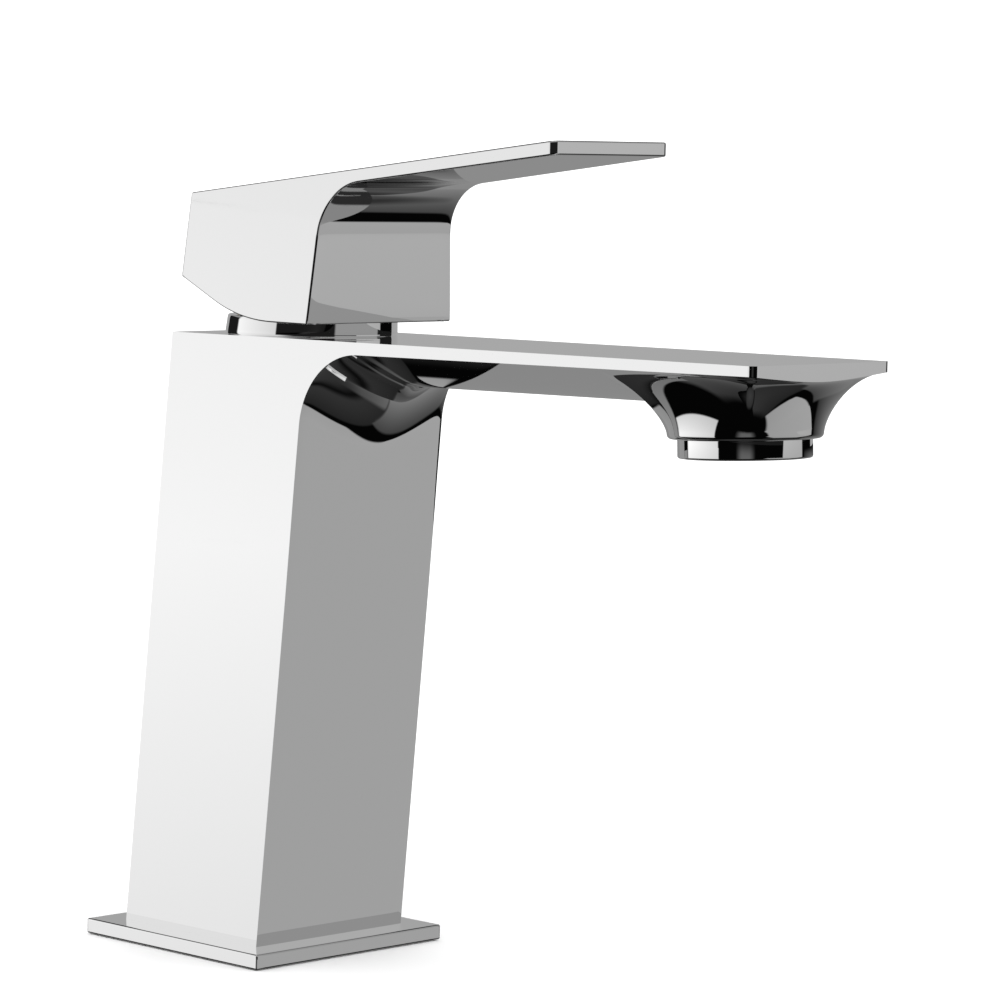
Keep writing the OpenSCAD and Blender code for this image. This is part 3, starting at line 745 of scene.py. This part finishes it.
def band(name, az0, az1, el0, el1, levels, soft=(0, 0, 0, 0), radius=2.4):
    patch(name, [(az0, el0), (az1, el0), (az1, el1), (az0, el1)], levels, soft, radius)


# the room: dark below, grey above, and the table's faint reflection
band("room_low", 0, 360, -90, -2, 0.0015, radius=3.2)
band("room_mid", 0, 360, -2, 12, 0.012, radius=3.2)
band("room_sky", 0, 360, 12, 30, 0.3, radius=3.2)
band("room_dark", 0, 360, 30, 66, 0.3, radius=3.2)
band("room_shade", 119, 252, 22, 66, 0.03, (0.04, 0.1, 0.1, 0.1), 3.15)
band("room_top", 0, 360, 62, 90, 0.6, (0, 0, 0.4, 0), 3.1)
band("table_nadir", 0, 360, -90, -66, (0.05, 0.05, 0.025, 0.025), (0, 0, 0, 0.3), 3.0)
band("table_near", 35, 166, -68, -40, (0.045, 0.03, 0.02, 0.015), (0.15, 0, 0.2, 0.1), 2.9)
band("table_back", 132, 166, -74, -44, (0.05, 0.06, 0.16, 0.13), (0.3, 0, 0.3, 0.1), 2.8)
band("table_left", 206, 304, -66, -47, (0.05, 0.02, 0.02, 0.12), (0, 0.3, 0, 0.3), 2.9)
# grey panel on the right
patch("panel_low", [(46, -42), (90, -37), (100, -22), (28, -22)],
      (0.33, 0.38, 0.41, 0.35), (0.1, 0.04, 0.1, 0))
patch("panel_main", [(28, -22), (100, -22), (109, -9), (34, -9)],
      (0.35, 0.405, 0.405, 0.37), (0.05, 0.02, 0, 0))
patch("panel_mid", [(62, -9), (109, -9), (108, 3), (64, 3)], (0.47, 0.42, 0.5, 0.55), (0.03, 0.05, 0, 0))
band("panel_high", 31, 104, 3, 28, (0.33, 0.33, 0.36, 0.36), (0.05, 0.05, 0, 0.2))
# large white soft box on the left
patch("soft_low", [(242, -20), (313, -30), (314, -6), (242, -6)],
      (0.75, 0.6, 0.78, 1.2), (0.06, 0.03, 0.08, 0))
band("soft_mid", 242, 313, -6, 6, (1.2, 0.78, 0.75, 1.05), (0.06, 0.03, 0, 0))
band("soft_high", 242, 340, 6, 34, (1.05, 0.6, 0.4, 0.95), (0.06, 0.3, 0, 0.2))
# grey backdrop and table behind
band("back_high", 139, 212, -4, 14, 0.4)
band("back_side", 111, 165, -46, -4, (0.04, 0.16, 0.27, 0.01), (0.1, 0, 0.1, 0.05))
patch("back_fill", [(108, -44), (165, -46), (165, -22), (103, -22)],
      (0.06, 0.22, 0.24, 0.05), (0.05, 0, 0.1, 0.1), 2.3)
band("belly_side", 165, 214, -48, -4, 0.27)
band("table_side", 228, 243, -52, -8, (0.17, 0.17, 0.28, 0.28), (0.1, 0.2, 0, 0))
# dim fill for the faces that look away from the camera
band("rear_side", 214, 229, -36, -3, 0.14, (0, 0, 0.2, 0.2), 2.95)
band("front_fill", 342, 376, -31, 0, 0.13, (0.35, 0.35, 0.3, 0.3), 2.7)

floor_mat, tree, shader = node_material("floor")
shader.inputs["Base Color"].default_value = (0.93, 0.93, 0.93, 1)
shader.inputs["Specular IOR Level"].default_value = 0.0
tex = noise(tree, 3.0)
tree.links.new(to_range(tree, tex.outputs["Fac"], 0.55, 0.65), shader.inputs["Roughness"])
bpy.ops.mesh.primitive_plane_add(size=1.0, location=(0, 0, -0.0002))
floor = bpy.context.object
floor.name = "floor"
floor.scale = (12, 12, 1)
floor.data.materials.append(floor_mat)
floor.visible_glossy = False

world = bpy.data.worlds.new("studio")
world.use_nodes = True
world.node_tree.nodes["Background"].inputs["Color"].default_value = (1, 1, 1, 1)
world.node_tree.nodes["Background"].inputs["Strength"].default_value = 1.5
bpy.context.scene.world = world
bpy.context.scene.view_settings.view_transform = "Standard"

# ---------------------------------------------------------------- camera
cam_data = bpy.data.cameras.new("camera")
cam_data.lens = 154.874
cam_data.sensor_width = 36.0
cam_data.clip_start = 0.05
cam = bpy.data.objects.new("camera", cam_data)
bpy.context.scene.collection.objects.link(cam)
back = Vector((math.sin(AZ) * math.cos(EL), -math.cos(AZ) * math.cos(EL), math.sin(EL)))
right0 = Vector((math.cos(AZ), math.sin(AZ), 0.0))
up0 = back.cross(right0)
right = math.cos(ROLL) * right0 + math.sin(ROLL) * up0
up = -math.sin(ROLL) * right0 + math.cos(ROLL) * up0
axes = Matrix((right, up, back)).transposed().to_4x4()
cam.matrix_world = Matrix.Translation(CAM_POS) @ axes
bpy.context.scene.camera = cam
